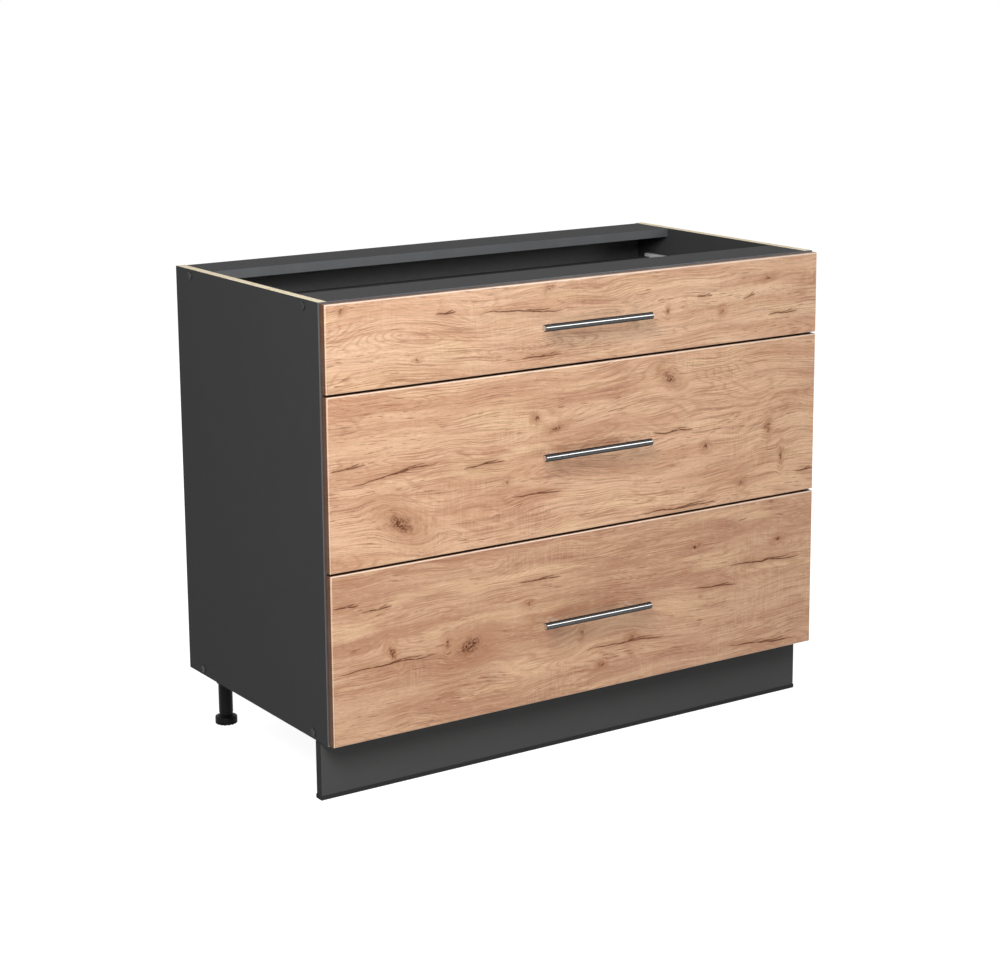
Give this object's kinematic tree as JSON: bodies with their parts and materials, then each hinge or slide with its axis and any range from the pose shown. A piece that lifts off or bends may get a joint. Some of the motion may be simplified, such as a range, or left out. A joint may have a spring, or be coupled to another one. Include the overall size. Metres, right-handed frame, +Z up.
{
  "type": "kitchen base cabinet",
  "caption": "Wide kitchen base cabinet with stacked drawers on roller runners, bar handles, a clip-on plinth and screw feet, for a worktop to sit on.",
  "frame": {"origin": "on the floor under the middle of the whole cabinet's bounding box, handles included", "axes": "+X to the right along the width, -Y to the front where the drawers open, +Z up"},
  "size_m": [1.0036, 0.553, 0.82],
  "materials": {
    "anthracite_board": "matt anthracite melamine on chipboard, cut edges raw on top",
    "anthracite_edging": "matt anthracite edging",
    "dark_hardboard": "dark lacquered thin fibreboard",
    "oak_decor_front": "rustic oak decor film with horizontal grain, satin",
    "handle_steel": "polished steel bar",
    "grey_coated_steel": "light grey powder coat on sheet steel",
    "zinc_steel": "zinc plated steel",
    "white_nylon": "natural white nylon",
    "dark_cap": "matt anthracite moulded cap",
    "black_plastic": "black moulded plastic",
    "plinth_board": "matt anthracite melamine on chipboard",
    "dark_seal": "dark flexible plastic lip"
  },
  "bodies": {
    "carcass": {"left_side_panel": "anthracite_board", "right_side_panel": "anthracite_board", "bottom_panel": "anthracite_board", "front_top_rail": "anthracite_board", "rear_top_rail": "anthracite_board", "back_panel": "dark_hardboard", "edge_bands": "anthracite_edging", "carcass_screws": "zinc_steel", "screw_cover_caps": "dark_cap", "leg_sockets": "black_plastic", "leg_tubes": "black_plastic", "leg_socket_screws": "zinc_steel", "plinth_board": "plinth_board", "plinth_seal": "dark_seal", "plinth_clips": "black_plastic", "runner_screws": "zinc_steel", "top_cabinet_runners": "grey_coated_steel", "middle_cabinet_runners": "grey_coated_steel", "bottom_cabinet_runners": "grey_coated_steel"},
    "top_drawer": {"top_drawer_front": "oak_decor_front", "top_handle_bar": "handle_steel", "top_handle_posts": "handle_steel", "top_handle_screws": "zinc_steel", "top_drawer_side_left": "grey_coated_steel", "top_drawer_side_right": "grey_coated_steel", "top_front_brackets": "zinc_steel", "top_drawer_floor": "anthracite_board", "top_drawer_back": "anthracite_board", "top_drawer_screws": "zinc_steel"},
    "top_cabinet_roller_pair": {"top_cabinet_rollers": "white_nylon"},
    "top_drawer_roller_pair": {"top_drawer_rollers": "white_nylon"},
    "middle_drawer": {"middle_drawer_front": "oak_decor_front", "middle_handle_bar": "handle_steel", "middle_handle_posts": "handle_steel", "middle_handle_screws": "zinc_steel", "middle_drawer_side_left": "grey_coated_steel", "middle_drawer_side_right": "grey_coated_steel", "middle_front_brackets": "zinc_steel", "middle_drawer_floor": "anthracite_board", "middle_drawer_back": "anthracite_board", "middle_drawer_screws": "zinc_steel"},
    "middle_cabinet_roller_pair": {"middle_cabinet_rollers": "white_nylon"},
    "middle_drawer_roller_pair": {"middle_drawer_rollers": "white_nylon"},
    "bottom_drawer": {"bottom_drawer_front": "oak_decor_front", "bottom_handle_bar": "handle_steel", "bottom_handle_posts": "handle_steel", "bottom_handle_screws": "zinc_steel", "bottom_drawer_side_left": "grey_coated_steel", "bottom_drawer_side_right": "grey_coated_steel", "bottom_front_brackets": "zinc_steel", "bottom_drawer_floor": "anthracite_board", "bottom_drawer_back": "anthracite_board", "bottom_drawer_screws": "zinc_steel"},
    "bottom_cabinet_roller_pair": {"bottom_cabinet_rollers": "white_nylon"},
    "bottom_drawer_roller_pair": {"bottom_drawer_rollers": "white_nylon"},
    "front_left_foot": {"front_left_foot": "black_plastic"},
    "front_right_foot": {"front_right_foot": "black_plastic"},
    "rear_left_foot": {"rear_left_foot": "black_plastic"},
    "rear_right_foot": {"rear_right_foot": "black_plastic"}
  },
  "joints": [
    {"name": "top_drawer_slide", "type": "slide", "parent": "carcass", "child": "top_drawer", "axis": [0, -1, 0], "range_m": [0, 0.34]},
    {"name": "top_cabinet_roller_spin", "type": "hinge", "parent": "carcass", "child": "top_cabinet_roller_pair", "pos_m": [0, -0.2085, 0.6957], "axis": [1, 0, 0], "continuous": true},
    {"name": "top_drawer_roller_spin", "type": "hinge", "parent": "top_drawer", "child": "top_drawer_roller_pair", "pos_m": [0, 0.2125, 0.6957], "axis": [1, 0, 0], "continuous": true},
    {"name": "middle_drawer_slide", "type": "slide", "parent": "carcass", "child": "middle_drawer", "axis": [0, -1, 0], "range_m": [0, 0.34]},
    {"name": "middle_cabinet_roller_spin", "type": "hinge", "parent": "carcass", "child": "middle_cabinet_roller_pair", "pos_m": [0, -0.2085, 0.4087], "axis": [1, 0, 0], "continuous": true},
    {"name": "middle_drawer_roller_spin", "type": "hinge", "parent": "middle_drawer", "child": "middle_drawer_roller_pair", "pos_m": [0, 0.2125, 0.4087], "axis": [1, 0, 0], "continuous": true},
    {"name": "bottom_drawer_slide", "type": "slide", "parent": "carcass", "child": "bottom_drawer", "axis": [0, -1, 0], "range_m": [0, 0.34]},
    {"name": "bottom_cabinet_roller_spin", "type": "hinge", "parent": "carcass", "child": "bottom_cabinet_roller_pair", "pos_m": [0, -0.2085, 0.1417], "axis": [1, 0, 0], "continuous": true},
    {"name": "bottom_drawer_roller_spin", "type": "hinge", "parent": "bottom_drawer", "child": "bottom_drawer_roller_pair", "pos_m": [0, 0.2125, 0.1417], "axis": [1, 0, 0], "continuous": true},
    {"name": "front_left_foot_screw", "type": "hinge", "parent": "carcass", "child": "front_left_foot", "pos_m": [-0.454, -0.1475, 0], "axis": [0, 0, 1], "range_deg": [0, 1620]},
    {"name": "front_right_foot_screw", "type": "hinge", "parent": "carcass", "child": "front_right_foot", "pos_m": [0.454, -0.1475, 0], "axis": [0, 0, 1], "range_deg": [0, 1620]},
    {"name": "rear_left_foot_screw", "type": "hinge", "parent": "carcass", "child": "rear_left_foot", "pos_m": [-0.454, 0.2325, 0], "axis": [0, 0, 1], "range_deg": [0, 1620]},
    {"name": "rear_right_foot_screw", "type": "hinge", "parent": "carcass", "child": "rear_right_foot", "pos_m": [0.454, 0.2325, 0], "axis": [0, 0, 1], "range_deg": [0, 1620]}
  ],
  "couplings": [
    {"joint": "top_cabinet_roller_spin", "follows": "top_drawer_slide", "rad_per_m": 100},
    {"joint": "top_drawer_roller_spin", "follows": "top_drawer_slide", "rad_per_m": 100},
    {"joint": "middle_cabinet_roller_spin", "follows": "middle_drawer_slide", "rad_per_m": 100},
    {"joint": "middle_drawer_roller_spin", "follows": "middle_drawer_slide", "rad_per_m": 100},
    {"joint": "bottom_cabinet_roller_spin", "follows": "bottom_drawer_slide", "rad_per_m": 100},
    {"joint": "bottom_drawer_roller_spin", "follows": "bottom_drawer_slide", "rad_per_m": 100}
  ]
}
